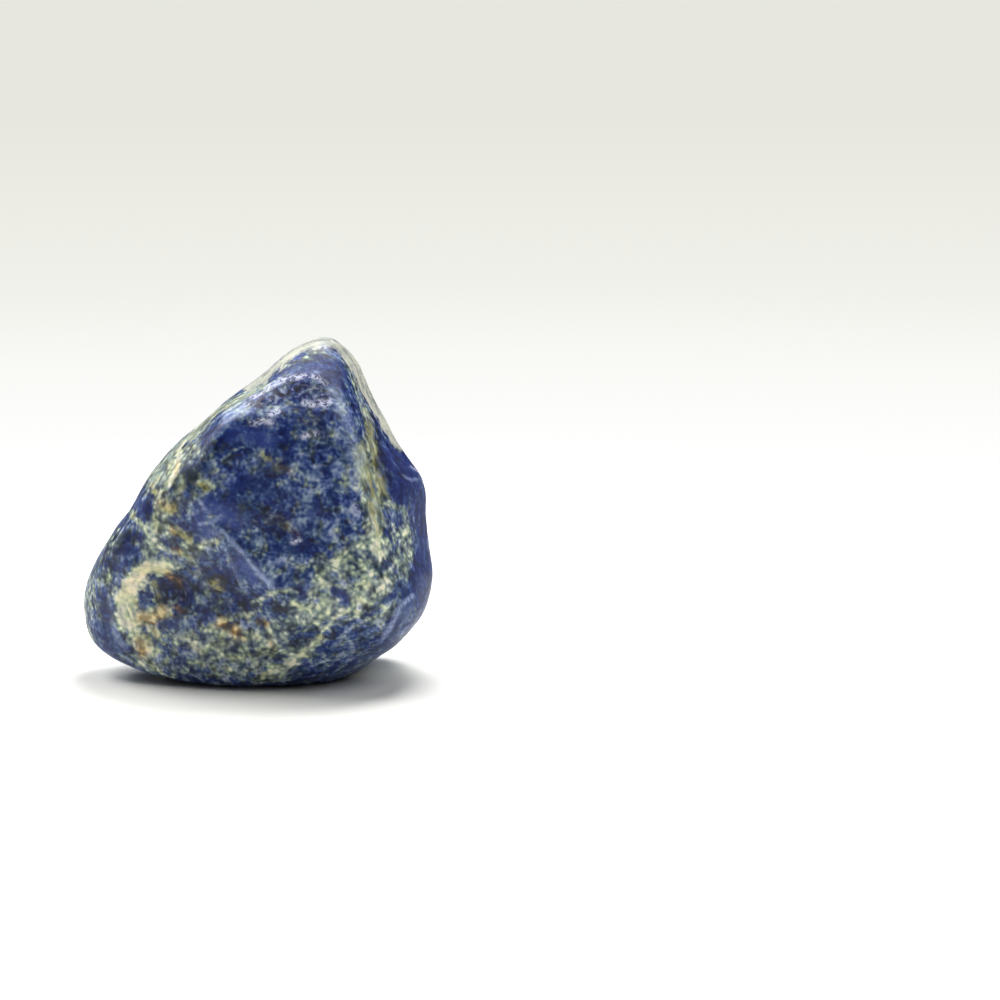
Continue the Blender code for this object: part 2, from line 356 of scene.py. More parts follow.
STROKES["olive"] = {
    "left top patch": (0.5, 0.85, (152, 487), (154, 492)),
    "left patch": (0.6, 0.55, (162, 508), (172, 512), (176, 505)),
    "left dash": (0.3, 0.9, (132, 517), (135, 514)),
    "column side": (0.6, 0.9, (176, 532), (184, 536), (190, 540)),
    "crack spot": (0.6, 1.0, (202, 485), (206, 488)),
    "hollow spot": (0.9, 1.0, (214, 584), (219, 586)),
    "rim olive": (0.4, 0.75, (135, 600), (137, 606)),
    "rim foot": (0.5, 0.7, (147, 636), (151, 644)),
    "face top": (0.5, 0.6, (264, 455), (270, 459)),
    "face middle": (0.9, 0.4, (278, 518), (286, 524)),
    "ridge side": (0.75, 0.55, (368, 420), (374, 445), (376, 468), (382, 490)),
    "crown left": (0.45, 0.55, (280, 366), (290, 358)),
    "flank rim": (0.6, 0.35, (214, 412), (202, 426)),
    "cheek top": (0.5, 0.55, (158, 570), (166, 574)),
    "face foot": (0.4, 0.55, (212, 544), (218, 540)),
    "slanting vein": (0.4, 0.6, (316, 641), (321, 637)),
    "ledge below": (0.6, 0.35, (300, 420), (310, 422), (318, 420)),
    "vein streak top": (0.3, 0.7, (366, 468), (370, 482), (373, 496)),
    "vein streak": (0.35, 0.7, (372, 504), (373, 516), (378, 532)),
    "cheek hollow": (0.5, 0.6, (155, 582), (156, 590), (159, 597)),
}

STROKES["dark"] = {
    "crown side": (0.18, 1.0, (352, 376), (355, 384), (357, 391)),
    "ridge side": (0.22, 0.9, (371, 414), (375, 424), (377, 433)),
    "flank rim": (0.16, 0.8, (231, 398), (237, 395)),
    "flank rim low": (0.16, 0.7, (217, 418), (212, 424)),
    "crown top": (0.16, 0.8, (262, 376), (268, 372)),
    "left dash": (0.22, 0.9, (132, 517), (134, 515)),
    "ledge left": (0.4, 0.95, (255, 405), (262, 406)),
    "ledge middle": (0.25, 0.75, (279, 395), (290, 393)),
    "ledge top": (0.28, 0.85, (297, 388), (302, 385)),
    "ledge right": (0.3, 0.85, (310, 388), (318, 386)),
    "ledge end": (0.28, 0.85, (325, 391), (327, 398)),
    "face": (0.35, 0.6, (266, 475), (272, 476)),
    "face dashes": (0.25, 0.9, (234, 456), (241, 455)),
    "rim foot": (0.3, 0.6, (146, 645), (150, 646)),
    "cheek brown": (0.4, 0.7, (177, 584), (180, 592)),
    "lower gap": (0.3, 0.8, (317, 629), (319, 631)),
    "hollow spot top": (0.25, 0.9, (212, 578), (220, 576), (226, 581)),
    "hollow spot foot": (0.25, 0.9, (212, 591), (220, 592)),
    # Painted shade at the top of the hollow.
    "hollow top": (1.0, 0.25, (184, 556), (196, 560), (206, 568)),
    "crack spot": (0.3, 0.9, (204, 487), (208, 488)),
}

STROKES["chipped"] = {
    "ledge left": (1.1, 1.0, (250, 404), (262, 400), (274, 396)),
    "ledge": (1.0, 1.0, (274, 396), (290, 391), (308, 392), (324, 394)),
}

STROKES["dull"] = {
    "right edge": (3.0, 1.0, (418, 500), (422, 530), (418, 562), (408, 596)),
    "left edge": (2.2, 0.8, (104, 570), (94, 600), (98, 640)),
    "hollow": (3.2, 0.7, (160, 598), (195, 590), (232, 600)),
    "shoulder": (1.8, 0.6, (392, 456), (406, 476), (414, 498)),
    "crown": (1.9, 0.9, (292, 366), (318, 360), (338, 374)),
}

# Painted glints: small white highlights on the ledge, the face, the shoulder and the ridge.
STROKES["painted_glint"] = {
    "ledge end left": (0.3, 0.95, (251, 397), (261, 394)),
    "ledge top left": (0.4, 0.75, (266, 389), (275, 383), (287, 379), (298, 377)),
    "ledge top": (0.36, 0.8, (298, 377), (308, 376), (318, 378), (325, 384)),
    "ledge foot left": (0.42, 1.0, (252, 422), (258, 423), (264, 420), (271, 423)),
    "ledge foot": (0.5, 1.0, (271, 414), (278, 412)),
    "ledge foot right": (0.42, 1.0, (304, 403), (314, 405)),
    "ledge foot far right": (0.42, 1.0, (319, 402), (325, 405), (330, 401)),
    "face": (0.35, 1.0, (303, 437), (306, 436)),
    "face right": (0.35, 0.9, (309, 434), (316, 434)),
    "face foot": (0.36, 1.0, (293, 542), (299, 540)),
    "shoulder": (0.2, 0.6, (411, 467), (417, 471)),
    "ridge": (0.4, 0.45, (354, 504), (357, 516)),
}

# A stroke is drawn as straight pieces this long, in pixels. Its amount falls to a third at its reach, and to
# nothing at this many reaches. A higher power makes it fuller inside and sharper at its side.
STROKE_STEP = 5
STROKE_END = 2.0
SIDE_POWER = 2.6

# The minerals stray from their strokes in waves of these sizes and reaches, in millimetres, and the seed
# makes them stray in the same way on each run. What is small or sharp keeps to its strokes.
STRAYS = ((3.4, 0.4), (1.5, 0.4))
STRAY_SEED = 3
STEADY = ("painted_sheen", "vivid", "rust", "olive", "dark", "chipped", "dull", "painted_glint")

# A cream stroke with a smaller reach than this is a vein. The distance to the nearest vein counts this far.
# Both are in millimetres.
WIDEST_VEIN = 1.5
VEIN_SURROUNDINGS = 3.5

# A place comes into the camera's sight as the cosine of its angle to the camera goes between these.
SIGHT_EDGE = (-0.15, 0.12)

# Corners of the solid that are closer than this, in millimetres, count as one. Two triangles that fit
# together within this angle, in degrees, become a quad, and each face is split in four this many times.
SAME_CORNER = 0.01
QUAD_ANGLE = 50
SPLITS = 2

# The wear: how high it goes and how wide its bumps are, in millimetres, and how many times finer bumps lie
# on them. The crack's edges are raised evenly, by this many millimetres.
WEAR = {
    "tumbling waves": (0.22, 3.2, 1),
    "uneven grains": (0.18, 1.1, 2),
    "chips": (0.75, 1.0, 3),
}
CRACK_EDGE_HEIGHT = 0.12

# The wear sets in between these heights over the table, in millimetres. Grains are uneven where there is
# more of the cream mineral than this.
WEAR_START = (0.2, 1.5)
UNEVEN_CREAM = 0.35


def select_only(piece):
    """Makes a piece the only one selected, and the active one."""
    bpy.ops.object.select_all(action="DESELECT")
    piece.select_set(True)
    bpy.context.view_layer.objects.active = piece


def fine_stone():
    """A copy of the plain solid's mesh, merged, turned into quads and made finer."""
    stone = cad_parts["stone"].copy()
    stone.data = stone.data.copy()
    stone.parent = None
    stone.name = "tumbled_stone"
    for mark in [key for key in stone.keys() if key.startswith("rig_")]:
        del stone[mark]
    bpy.context.scene.collection.objects.link(stone)
    select_only(stone)
    angle = math.radians(QUAD_ANGLE)
    bpy.ops.object.mode_set(mode="EDIT")
    bpy.ops.mesh.select_all(action="SELECT")
    bpy.ops.mesh.remove_doubles(threshold=SAME_CORNER * MM)
    bpy.ops.mesh.tris_convert_to_quads(face_threshold=angle, shape_threshold=angle)
    bpy.ops.object.mode_set(mode="OBJECT")
    finer = stone.modifiers.new("finer", "SUBSURF")
    finer.levels = SPLITS
    finer.render_levels = SPLITS
    bpy.ops.object.modifier_apply(modifier=finer.name)
    return stone


def vertex_rows(mesh, name):
    """The places, "co", or the normals, "normal", of a mesh's vertices as an array of rows."""
    flat = np.empty(len(mesh.vertices) * 3, np.float32)
    mesh.vertices.foreach_get(name, flat)
    return flat.reshape(-1, 3)


def smooth_line(points, step):
    """Places about a step apart on the smooth curve through some points."""
    rows = np.array(points, float)
    ends = np.vstack([2 * rows[0] - rows[1], rows, 2 * rows[-1] - rows[-2]])
    line = [rows[0]]
    for before, start, end, after in zip(ends, ends[1:], ends[2:], ends[3:]):
        count = max(1, round(np.linalg.norm(end - start) / step))
        for share in np.arange(1, count + 1) / count:
            bend = (2 * before - 5 * start + 4 * end - after) * share ** 2
            bend += (3 * start - before - 3 * end + after) * share ** 3
            line.append(start + (end - before) * share / 2 + bend / 2)
    return line


def line_on_stone(points, surface):
    """A stroke's line where the camera sees it on the stone, as_seen."""
    rays = [photo_ray(*point).normalized() for point in smooth_line(points, STROKE_STEP)]
    hits = [surface.ray_cast(CAMERA_PLACE, ray)[0] for ray in rays]
    found = [np.array(hit) for hit in hits if hit is not None]
    if not found:
        raise ValueError(f"the stroke through {points} misses the stone")
    return as_seen(found)


def gap_to(places, line, reach):
    """How far each place is from a line, or the reach where it is further than that."""
    gaps = np.full(len(places), reach)
    close = np.all(places > np.min(line, axis=0) - reach, axis=1)
    close &= np.all(places < np.max(line, axis=0) + reach, axis=1)
    inside = places[close]
    nearest = np.linalg.norm(inside - line[0], axis=1)
    for start, end in zip(line, line[1:]):
        along = end - start
        share = np.clip((inside - start) @ along / (along @ along + 1e-12), 0, 1)
        nearest = np.minimum(nearest, np.linalg.norm(inside - start - share[:, None] * along, axis=1))
    gaps[close] = np.minimum(nearest, reach)
    return gaps


def wandering(places):
    """How far the minerals stray from their strokes, so that no stroke has an even side."""
    noise.seed_set(STRAY_SEED)
    strays = np.zeros((len(places), 3))
    for size, reach in STRAYS:
        strays += [np.array(noise.noise_vector(Vector(place) / (size * MM))) * reach * MM for place in places]
    return strays


def lay_strokes(strokes, places, surface):
    """How much of a mineral its strokes bring to each place, and how far away its nearest vein is."""
    bare = np.ones(len(places))
    vein_gaps = np.full(len(places), VEIN_SURROUNDINGS * MM)
    for reach, strength, *points in strokes.values():
        line = line_on_stone(points, surface)
        gaps = gap_to(places, line, max(reach * STROKE_END, VEIN_SURROUNDINGS) * MM)
        bare *= 1 - strength * np.exp(-(gaps / (reach * MM)) ** SIDE_POWER)
        if reach < WIDEST_VEIN:
            vein_gaps = np.minimum(vein_gaps, gaps)
    return 1 - bare, vein_gaps


def out_of_sight(mesh):
    """1 where a mesh faces away from the camera, 0 where it faces it and smooth between them."""
    to_camera = np.array(CAMERA_PLACE) - vertex_rows(mesh, "co")
    to_camera /= np.linalg.norm(to_camera, axis=1)[:, None]
    facing = np.sum(vertex_rows(mesh, "normal") * to_camera, axis=1)
    return 1 - smooth_share(facing, *SIGHT_EDGE)


def mineral_amounts(stone):
    """Lays all strokes on the stone, and keeps each mineral's amount as an attribute of its mesh."""
    surface = BVHTree.FromObject(stone, bpy.context.evaluated_depsgraph_get())
    places = vertex_rows(stone.data, "co")
    straight = as_seen(places)
    strayed = straight + wandering(places)
    amounts = {}
    vein_gaps = {}
    for mineral, strokes in STROKES.items():
        seen = straight if mineral in STEADY else strayed
        amounts[mineral], vein_gaps[mineral] = lay_strokes(strokes, seen, surface)
    amounts["beside"] = vein_gaps["cream"] / MM
    amounts["unseen"] = out_of_sight(stone.data)
    for mineral, amount in amounts.items():
        layer = stone.data.attributes.new(mineral, "FLOAT", "POINT")
        layer.data.foreach_set("value", amount.astype(np.float32))
    return amounts


def smooth_share(values, start, end):
    """0 before start, 1 after end and smooth between them."""
    share = np.clip((values - start) / (end - start), 0, 1)
    return share * share * (3 - 2 * share)


def group_of(stone, name, weights):
    """A vertex group that holds the weights, without the smallest."""
    group = stone.vertex_groups.new(name=name)
    for index in np.flatnonzero(weights > 0.01):
        group.add([int(index)], float(weights[index]), "REPLACE")
    return group.name


def raise_surface(stone, name, weights, height, texture=None):
    """Moves the surface out by a height at full weight, or in and out with a texture."""
    push = stone.modifiers.new(name, "DISPLACE")
    push.strength = height * MM
    push.vertex_group = group_of(stone, name, weights)
    push.mid_level = 0.0
    if texture:
        push.texture = texture
        push.texture_coords = "LOCAL"
        push.mid_level = 0.5
    select_only(stone)
    bpy.ops.object.modifier_apply(modifier=push.name)


def wear_down(stone, name, weights):
    """Adds one kind of wear, as much of it as the weights say."""
    height, size, depth = WEAR[name]
    texture = bpy.data.textures.new(name, "CLOUDS")
    texture.noise_scale = size * MM
    texture.noise_depth = depth
    texture.noise_basis = "ORIGINAL_PERLIN"
    raise_surface(stone, name, weights, height, texture)


def work_the_surface(stone, amounts):
    """Adds the waves of tumbling, uneven grains, the chipped ledge and the crack's edges, inside the box."""
    start, end = WEAR_START
    off_table = smooth_share(vertex_rows(stone.data, "co")[:, 2], start * MM, end * MM)
    wear_down(stone, "tumbling waves", off_table)
    wear_down(stone, "uneven grains", np.clip(amounts["cream"] - UNEVEN_CREAM, 0, 1) * off_table)
    wear_down(stone, "chips", amounts["chipped"] * off_table)
    # The crack's edges rise along the painted sheen strokes that the camera sees.
    raise_surface(stone, "crack edges", amounts["painted_sheen"] * (1 - amounts["unseen"]), CRACK_EDGE_HEIGHT)
    inside = np.clip(vertex_rows(stone.data, "co"), np.array(LOW), np.array(HIGH))
    stone.data.vertices.foreach_set("co", inside.astype(np.float32).ravel())
    stone.data.update()


def srgb(red, green, blue):
    """A colour given as the photograph's 0 to 255 values, as the linear values that Blender mixes."""
    def linear(value):
        share = value / 255
        return share / 12.92 if share <= 0.04045 else ((share + 0.055) / 1.055) ** 2.4
    return (linear(red), linear(green), linear(blue), 1.0)


# How far Blender's noise strays from one half, as a standard deviation, and the middle and the spread of
# the gap to the next crystal's heart, for crystals of size one.
NOISE_SPREAD = 0.071
CRYSTAL_MIDDLE = 0.45
CRYSTAL_SPREAD = 0.14

# The rock's textures: the size of their bumps in millimetres, how many times finer bumps lie on them, and
# their strength. At strength 1 they go mostly from -2 to 2. Some are shifted, so that none repeats another.
TEXTURES = {
    "grains": (1.0, 1.0, 0.34),
    "fine grains": (0.5, 0.0, 0.22, (7.0, 3.0, 1.0)),
    "clouds": (2.2, 0.5, 0.3),
    "broad clouds": (5.0, 0.5, 0.2),
    "patches": (1.3, 0.5, 1.0, (5.0, 1.0, 8.0)),
    "hues": (1.5, 1.0, 0.14, (3.0, 9.0, 5.0)),
    "green and violet": (1.6, 0.0, 1.0),
    "fibres": (0.42, 0.5, 1.0),
    "unseen layers": (11.0, 3.0, 1.0),
    "unseen veins": (15.0, 1.0, 1.0, (4.0, 2.0, 6.0)),
    "vein breaks": (6.0, 0.5, 1.0, (8.0, 5.0, 1.0)),
    "painted_sheen": (0.8, 3.0, 1.0),
    "rust": (1.1, 0.5, 0.6),
    "chips": (0.7, 3.0, 1.0),
    "painted_glints": (0.55, 3.0, 1.0),
    "polish": (0.25, 3.0, 0.08),
}


class Wire:
    """A socket that Python's operators work on: each one adds the Math or Vector Math node that it means."""

    def __init__(self, paint, socket):
        self.paint = paint
        self.socket = socket

    def calculate(self, operation, *sides):
        """A Math node, or a Vector Math node where one of the two sides is a vector."""
        kind = "ShaderNodeMath"
        if any(is_vector(side) for side in sides):
            kind = "ShaderNodeVectorMath"
            sides = [side if is_vector(side) else self.paint.even(side) for side in sides]
        return self.paint.node(kind, {"operation": operation}, dict(enumerate(sides)))

    def __add__(self, other):
        return self.calculate("ADD", self, other)

    def __sub__(self, other):
        return self.calculate("SUBTRACT", self, other)

    def __rsub__(self, other):
        return self.calculate("SUBTRACT", other, self)

    def __mul__(self, other):
        return self.calculate("MULTIPLY", self, other)


def is_vector(side):
    """Whether one side of a sum or product is a vector or a colour."""
    if isinstance(side, Wire):
        return side.socket.type in ("VECTOR", "RGBA")
    return isinstance(side, tuple)


class Paint:
    """A material or world under work: makes its nodes and joins them."""

    def __init__(self, holder):
        self.holder = holder
        holder.use_nodes = True
        self.tree = holder.node_tree

    def node(self, kind, settings=None, sockets=None, output=0):
        """Adds a node with its settings, then its sockets' values or links, and gives one of its outputs."""
        node = self.tree.nodes.new(kind)
        for name, value in (settings or {}).items():
            setattr(node, name, value)
        for name, value in (sockets or {}).items():
            self.fill(find_socket(node.inputs, name), value)
        return Wire(self, find_socket(node.outputs, output))

    def fill(self, socket, value):
        """Joins a wire to a socket, or gives it a fixed value."""
        if isinstance(value, Wire):
            self.tree.links.new(value.socket, socket)
        else:
            socket.default_value = value

    def even(self, value):
        """A vector with one value along all three axes."""
        if isinstance(value, Wire):
            return self.node("ShaderNodeCombineXYZ", sockets={"X": value, "Y": value, "Z": value})
        return (value, value, value)

    def amount(self, name):
        """How much of a mineral the stone holds at each place."""
        return self.node("ShaderNodeAttribute", {"attribute_name": name}, output="Fac")

    def noise(self, place, size, detail, output="Fac"):
        """Cloudy noise from 0 to 1, with bumps of about a size in the place's own unit."""
        sockets = {"Vector": place, "Scale": 1 / size, "Detail": detail, "Roughness": 0.6}
        return self.node("ShaderNodeTexNoise", sockets=sockets, output=output)

    def waves(self, place, name):
        """One of the rock's textures, which is 0 on average."""
        size, detail, strength, *shifts = TEXTURES[name]
        for shift in shifts:
            place = place + shift
        return (self.noise(place, size, detail) - 0.5) * (strength / NOISE_SPREAD)

    def crystals(self, place, size):
        """Round grains of about this size: 0 on average, up to 2 inside them and -2 between them."""
        settings = {"feature": "SMOOTH_F1"}
        sockets = {"Vector": place, "Scale": 1 / size, "Smoothness": 0.4}
        gap = self.node("ShaderNodeTexVoronoi", settings, sockets, "Distance")
        return (CRYSTAL_MIDDLE - gap) * (1 / CRYSTAL_SPREAD)

    def rise(self, value, start, end, lowest=0.0, highest=1.0):
        """Rises smoothly as a value goes from start to end."""
        settings = {"interpolation_type": "SMOOTHSTEP"}
        ends = {"Value": value, "From Min": start, "From Max": end, "To Min": lowest, "To Max": highest}
        return self.node("ShaderNodeMapRange", settings, ends)

    def mix(self, share, first, second):
        """One colour, going over into a second one as share goes from 0 to 1."""
        sockets = {"Factor_Float": share, "A_Color": first, "B_Color": second}
        return self.node("ShaderNodeMix", {"data_type": "RGBA"}, sockets, "Result_Color")

    def ramp(self, value, stops):
        """The colour that a value from 0 to 1 has among stops, each a place and its colour."""
        colour = self.node("ShaderNodeValToRGB", sockets={"Fac": value}, output="Color")
        elements = colour.socket.node.color_ramp.elements
        while len(elements) < len(stops):
            elements.new(1.0)
        for element, (place, shade) in zip(elements, stops):
            element.position = place
            element.color = shade
        return colour


def find_socket(sockets, name):
    """The socket with this place in the list, identifier or name."""
    if isinstance(name, int):
        return sockets[name]
    for socket in sockets:
        if socket.identifier == name:
            return socket
    return sockets[name]


# The rock's layers are stacked along this direction, which the main blue face looks along: the azimuth
# and the elevation are in degrees. The layers are this many times thinner than they are wide.
LAYER_AZIMUTH = 6.0
LAYER_ELEVATION = 8.0
LAYER_THINNESS = 2.2

# The rock is bent in waves of these sizes and reaches, in millimetres.
BENDS = ((5.0, 1.2), (1.1, 0.2))

# The crystals of the cream mineral are this big, in millimetres. Fibres run along the inside of its veins,
# and are this long for their width.
CRYSTAL_SIZE = 0.85
FIBRE_LENGTH = 7.0

# Tones span this much, from -3 in the darkest grains to 3 in the palest. Then come the bare rock's tone, and
# how much cream, solid cream, mist and painted sheen, crystals and fibres add to it where there is most of
# them.
TONE_SPAN = 6
BARE_TONE = -0.68
CREAM_TONE = 2.6
SOLID_TONE = 0.4
MIST_AND_SHEEN_TONE = 1.9
CRYSTALS_TONE = 0.5
FIBRES_TONE = 0.22

# The amounts of cream between which it turns solid and the rock turns from blue to cream, and the amounts
# of earth between which it is streaked.
SOLID_CREAM = (0.78, 0.98)
WARM_CREAM = (0.02, 0.36)
STREAKED_EARTH = (0.50, 0.85)

# The roughness of the polish, how much it shines, and the relief under it: its strength, and its height in
# millimetres.
POLISHED = 0.37
SHEEN = 1.42
RELIEF_STRENGTH = 0.35
RELIEF_HEIGHT = 0.1

# The share of the rock's own colour that each marking, painted light among them, covers where there is most
# of it.
COVER = {
    "vivid": 0.65,
    "painted_sheen": 0.88,
    "rust": 0.9,
    "olive": 0.8,
    "pale_and_rim_sheen": 0.88,
    "dark_flecks": 0.8,
    "lilac_bruise_and_glint": 0.7,
    "dark": 0.9,
    "painted_glint": 0.95,
}


def tone_stops(*stops):
    """Colour stops given by their tone."""
    return [(tone / TONE_SPAN + 0.5, srgb(*colour)) for tone, colour in stops]


BLUE_TONES = tone_stops(
    (-2.6, (6, 17, 64)),
    (-1.7, (14, 31, 94)),
    (-0.9, (34, 56, 114)),
    (-0.2, (62, 83, 136)),
    (0.5, (95, 115, 156)),
    (1.3, (137, 153, 184)),
    (2.3, (182, 194, 208)),
)

CREAM_TONES = tone_stops(
    (-2.5, (12, 20, 42)),
    (-1.6, (26, 36, 64)),
    (-0.9, (50, 65, 93)),
    (-0.2, (86, 102, 118)),
    (0.4, (119, 133, 137)),
    (1.0, (150, 165, 156)),
    (1.7, (190, 202, 180)),
    (2.6, (244, 243, 222)),
)

EARTH_TONES = tone_stops(
    (-2.0, (32, 38, 46)),
    (-0.9, (56, 63, 64)),
    (0.0, (92, 98, 91)),
    (1.0, (136, 144, 126)),
    (2.0, (190, 194, 164)),
)

RUST_TONES = tone_stops(
    (-2.0, (52, 42, 34)),
    (-0.8, (94, 65, 34)),
    (0.2, (150, 108, 48)),
    (0.8, (194, 160, 92)),
    (1.3, (246, 222, 162)),
)

# The colours of the markings that lie over the graded ones. The sheen blue and the glint white are painted
# highlights, the pale grey and cream mostly painted reflection, and the lilac partly painted glints.
VIVID_BLUE = srgb(48, 68, 148)
PAINTED_SHEEN_BLUE = srgb(158, 174, 214)
DARK_OLIVE = srgb(70, 66, 18)
PALE_OLIVE = srgb(160, 150, 74)
PALE_SHEEN_GREY = srgb(150, 157, 150)
PALE_SHEEN_CREAM = srgb(200, 200, 182)
CHIP_BROWN = srgb(56, 40, 56)
CHIP_BLACK = srgb(28, 34, 36)
CHIP_BRUISE_AND_GLINT_LILAC = srgb(176, 178, 214)
DARK_SPECK = srgb(36, 32, 40)
PAINTED_GLINT_WHITE = srgb(222, 224, 248)

# Tints that the rock's colour is multiplied by: in patches of two kinds, and in solid cream.
VIOLET_TINT = (1.01, 0.99, 1.06, 1.0)
GREEN_TINT = (0.98, 1.01, 0.91, 1.0)
NO_TINT = (1.0, 1.0, 1.0, 1.0)
CREAM_TINT = (1.07, 1.01, 0.93, 1.0)


def rock_places(paint):
    """Where a point is in the rock, in millimetres: bent as the rock was, and in the layers' own axes."""
    inside = paint.node("ShaderNodeTexCoord", output="Object") * (1 / MM)
    bent = inside
    for size, reach in BENDS:
        bent = bent + (paint.noise(inside, size, 1.0, "Color") - (0.5, 0.5, 0.5)) * reach
    turn = Euler((math.radians(LAYER_ELEVATION), 0, math.radians(LAYER_AZIMUTH)))
    sockets = {"Vector": bent, "Rotation": turn[:], "Scale": (1.0, LAYER_THINNESS, 1.0)}
    return bent, paint.node("ShaderNodeMapping", {"vector_type": "POINT"}, sockets)


def fibre_waves(paint, bent):
    """Streaks along the cream veins: noise that changes fast away from a vein and slowly along it."""
    across = paint.amount("beside") * (1.0, 0.0, 0.0)
    return paint.waves(bent * (1 / FIBRE_LENGTH) + across, "fibres")


def cream_share(paint, layered):
    """How much cream mineral there is: the strokes, and layers and veins where the camera can't see."""
    layers = paint.rise(paint.waves(layered, "unseen layers"), 0.3, 2.2, 0.08, 0.85)
    crossing = paint.waves(layered, "unseen veins")
    broken = paint.rise(paint.waves(layered, "vein breaks"), -0.9, 0.9)
    veins = paint.rise(crossing * crossing, 0.16, 0.0, 0.0, 0.66) * broken
    unseen = paint.amount("unseen")
    kept = 1.0 - paint.amount("deep") * 0.9
    return paint.amount("cream") * kept * (1.0 - unseen) + (layers + veins * (1.0 - layers)) * unseen


class Rock:
    """What the rock is like at each place: its grains, its minerals and its tone."""

    def __init__(self, paint):
        self.bent, self.layered = rock_places(paint)
        self.grains = paint.waves(self.bent, "grains") + paint.waves(self.bent, "fine grains")
        self.clouds = paint.waves(self.layered, "clouds") + paint.waves(self.layered, "broad clouds")
        self.patches = paint.waves(self.bent, "patches")
        self.deep = paint.amount("deep")
        self.cream = cream_share(paint, self.layered)
        self.solid = paint.rise(self.cream, *SOLID_CREAM)
        hues = paint.waves(self.layered, "hues")
        self.warmth = paint.rise(self.cream + hues - self.deep * 0.1, *WARM_CREAM)
        self.streaked = paint.rise(paint.amount("earth"), *STREAKED_EARTH)
        fibrous = self.solid + self.streaked * (1.0 - self.solid) * 1.4
        self.fibres = fibre_waves(paint, self.bent) * fibrous
        self.tone = self.grains_tone(paint) + self.fibres * FIBRES_TONE + self.lightness(paint)
        self.level = self.tone * (1 / TONE_SPAN) + 0.5

    def grains_tone(self, paint):
        """How much the grains lighten or darken the rock: strongly, but less where it is calm."""
        crystals = paint.crystals(self.bent, CRYSTAL_SIZE) * self.warmth * CRYSTALS_TONE
        grains = self.grains * (1.0 - self.warmth * 0.3)
        clouds = self.clouds * (1.0 - self.warmth * 0.2)
        calm = (1.0 - self.solid * 0.65) * (1.0 - self.deep * 0.5) * (1.0 - self.streaked * 0.75)
        return (grains + crystals + clouds) * calm

    def lightness(self, paint):
        """How pale the minerals, the painted sheen and the painted shade make the rock on the whole."""
        mist_and_sheen = paint.amount("mist_and_sheen") * MIST_AND_SHEEN_TONE
        return self.cream * CREAM_TONE + self.solid * SOLID_TONE + mist_and_sheen - self.deep + BARE_TONE


def rock_colour(paint, rock):
    """Blue that goes over into cream and, in patches, into earthy grey, each by its tone."""
    colour = paint.mix(rock.warmth, paint.ramp(rock.level, BLUE_TONES), paint.ramp(rock.level, CREAM_TONES))
    scattered = paint.rise(rock.patches, 0.2, 1.6) * rock.warmth * (1.0 - rock.solid) * 0.45
    earth = scattered + paint.amount("earth") * paint.rise(rock.patches, -1.6, 0.4)
    colour = paint.mix(earth, colour, paint.ramp(rock.level, EARTH_TONES))
    greener = paint.rise(paint.waves(rock.bent, "green and violet"), -2.0, 2.0)
    colour = colour * paint.mix(greener, VIOLET_TINT, GREEN_TINT)
    return colour * paint.mix(rock.solid, NO_TINT, CREAM_TINT)


def with_crack(paint, rock, colour):
    """Vivid blue beside the crack, and painted sheen, pale blue highlights, along its edges and elsewhere."""
    colour = paint.mix(paint.amount("vivid") * COVER["vivid"], colour, VIVID_BLUE)
    painted_sheen = paint.amount("painted_sheen") * paint.rise(paint.waves(rock.layered, "painted_sheen"), -1.5, 1.0, 0.4, 1.0)
    return paint.mix(painted_sheen * COVER["painted_sheen"], colour, PAINTED_SHEEN_BLUE)


def with_stains(paint, rock, colour):
    """Rust, palest where there is the most cream, and olive."""
    rust_tone = paint.waves(rock.bent, "rust") + rock.cream * 2.3 - 1.3
    rust_colour = paint.ramp(rust_tone * (1 / TONE_SPAN) + 0.5, RUST_TONES)
    rust = paint.amount("rust") * paint.rise(rock.grains, -1.8, -0.5)
    colour = paint.mix(rust * COVER["rust"], colour, rust_colour)
    olive_colour = paint.mix(paint.rise(rock.tone, -1.5, 1.5), DARK_OLIVE, PALE_OLIVE)
    olive = paint.amount("olive") * paint.rise(rock.grains, -1.2, 0.4, 0.35, 1.0)
    return paint.mix(olive * COVER["olive"], colour, olive_colour)


def with_pale_and_rim_sheen(paint, rock, colour):
    """Pale rims, grey to cream: mostly painted grazing reflection, weaker where the camera can't see them."""
    shown = 1.0 - paint.amount("unseen") * 0.45
    pale_and_rim_sheen = paint.rise(paint.amount("pale_and_rim_sheen") * shown + rock.grains * 0.10, 0.22, 0.70)
    pale_sheen_tone = paint.rise(rock.clouds + rock.grains * 0.5, -1.1, 0.5)
    return paint.mix(pale_and_rim_sheen * COVER["pale_and_rim_sheen"], colour, paint.mix(pale_sheen_tone, PALE_SHEEN_GREY, PALE_SHEEN_CREAM))


def with_chips(paint, rock, colour):
    """The chipped ledge: dark flecks, and lilac where it stands out, partly bruise and partly painted glint.
    """
    chipped = paint.amount("chipped")
    chips = paint.waves(rock.bent, "chips")
    fleck_colour = paint.mix(paint.rise(rock.patches, -0.8, 0.8), CHIP_BROWN, CHIP_BLACK)
    colour = paint.mix(chipped * paint.rise(chips, -0.1, 1.2) * COVER["dark_flecks"], colour, fleck_colour)
    return paint.mix(chipped * paint.rise(chips, -0.7, -1.7) * COVER["lilac_bruise_and_glint"], colour, CHIP_BRUISE_AND_GLINT_LILAC)


def with_specks(paint, rock, colour):
    """Dark specks, and painted glints: white highlights where a fracture would catch the light."""
    dark = paint.amount("dark") * paint.rise(rock.grains, 1.0, -0.4, 0.5, 1.0)
    colour = paint.mix(dark * COVER["dark"], colour, DARK_SPECK)
    painted_glint = paint.amount("painted_glint") * paint.rise(paint.waves(rock.bent, "painted_glints"), -0.9, 0.3, 0.1, 1.0)
    return paint.mix(painted_glint * COVER["painted_glint"], colour, PAINTED_GLINT_WHITE)


